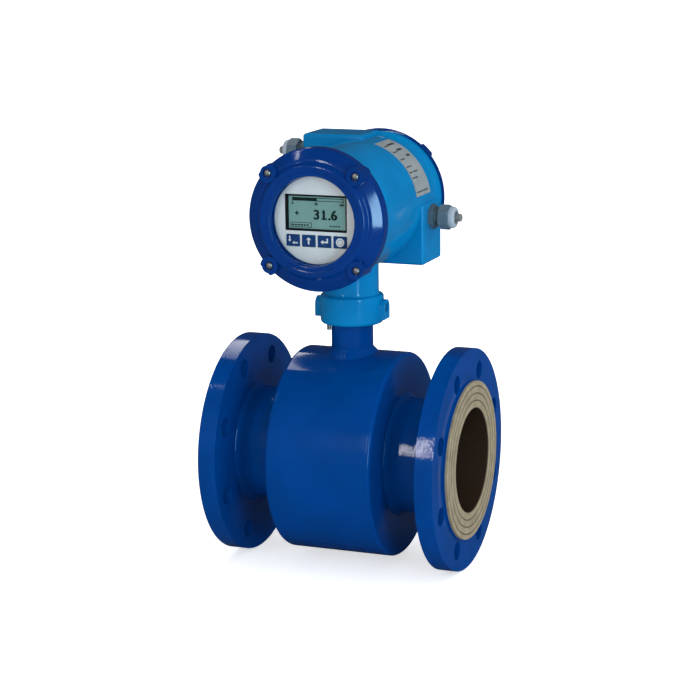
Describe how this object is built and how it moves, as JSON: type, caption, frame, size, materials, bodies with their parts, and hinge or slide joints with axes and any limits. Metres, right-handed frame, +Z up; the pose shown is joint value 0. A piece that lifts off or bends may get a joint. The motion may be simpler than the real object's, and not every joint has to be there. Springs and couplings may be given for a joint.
{
  "type": "electromagnetic flow meter",
  "caption": "Flanged pipe flow meter: lined bore in a round welded coil housing, with a swivelling display head on a neck, covers, keys and cable glands.",
  "frame": {"origin": "middle of the flow bore, halfway between the two flange faces", "axes": "+X along the flow bore, -Y towards the display, +Z up the neck to the head"},
  "size_m": [0.25, 0.22, 0.4239],
  "materials": {
    "body_paint": "gloss",
    "casing_paint": "gloss",
    "cover_paint": "gloss",
    "liner_rubber": "matte",
    "magnet_steel": "satin",
    "bobbin_plastic": "matte",
    "copper_winding": "satin",
    "stainless": "satin",
    "seal_rubber": "matte",
    "window_glass": "polished",
    "panel_plastic": "satin",
    "display_plastic": "satin",
    "key_plastic": "satin",
    "circuit_board": "satin",
    "spacer_metal": "satin",
    "potting": "matte",
    "terminal_plastic": "matte",
    "gland_plastic": "matte",
    "plug_plastic": "matte",
    "label_metal": "satin"
  },
  "bodies": {
    "sensor": {"measuring_tube": "body_paint", "liner": "liner_rubber", "flange_left": "body_paint", "flange_right": "body_paint", "housing_shell": "body_paint", "housing_end_left": "body_paint", "housing_end_right": "body_paint", "pole_piece_upper": "magnet_steel", "pole_piece_lower": "magnet_steel", "return_yoke": "magnet_steel", "coil_bobbin_upper": "bobbin_plastic", "coil_bobbin_lower": "bobbin_plastic", "coil_upper": "copper_winding", "coil_lower": "copper_winding", "yoke_screws": "stainless", "electrode_front": "stainless", "electrode_rear": "stainless", "electrode_nuts": "stainless", "electrode_bushes": "bobbin_plastic", "neck_tube": "body_paint", "neck_gasket": "seal_rubber", "neck_grommet": "seal_rubber", "sensor_lead": "seal_rubber"},
    "head": {"casing": "casing_paint", "collar_lock_screws": "stainless", "collar_pin": "stainless", "front_cover": "cover_paint", "rear_cover": "cover_paint", "window_glass": "window_glass", "window_ring": "cover_paint", "front_gasket": "seal_rubber", "rear_gasket": "seal_rubber", "front_cover_screws": "stainless", "rear_cover_screws": "stainless", "display_panel": "panel_plastic", "lcd_module": "display_plastic", "display_board": "circuit_board", "main_board": "circuit_board", "terminal_board": "circuit_board", "panel_spacers": "spacer_metal", "board_pillars": "spacer_metal", "terminal_posts": "spacer_metal", "stack_screws": "stainless", "power_module": "potting", "terminal_strips": "terminal_plastic", "gland_body_right": "gland_plastic", "gland_body_left": "gland_plastic", "gland_nut_right": "gland_plastic", "gland_nut_left": "gland_plastic", "gland_locknuts": "gland_plastic", "gland_seal_right": "seal_rubber", "gland_seal_left": "seal_rubber", "gland_plug_right": "plug_plastic", "gland_plug_left": "plug_plastic", "rating_label": "label_metal"},
    "key_1": {"key_1": "key_plastic"},
    "key_2": {"key_2": "key_plastic"},
    "key_3": {"key_3": "key_plastic"},
    "key_4": {"key_4": "key_plastic"}
  },
  "joints": [
    {"name": "head_swivel", "type": "hinge", "parent": "sensor", "child": "head", "pos_m": [0, 0, 0.1473], "axis": [0, 0, 1], "range_deg": [-175, 175]},
    {"name": "key_1_press", "type": "slide", "parent": "head", "child": "key_1", "axis": [0, 1, 0], "range_m": [0, 0.0005], "stiffness_N_per_m": 3000},
    {"name": "key_2_press", "type": "slide", "parent": "head", "child": "key_2", "axis": [0, 1, 0], "range_m": [0, 0.0005], "stiffness_N_per_m": 3000},
    {"name": "key_3_press", "type": "slide", "parent": "head", "child": "key_3", "axis": [0, 1, 0], "range_m": [0, 0.0005], "stiffness_N_per_m": 3000},
    {"name": "key_4_press", "type": "slide", "parent": "head", "child": "key_4", "axis": [0, 1, 0], "range_m": [0, 0.0005], "stiffness_N_per_m": 3000}
  ]
}
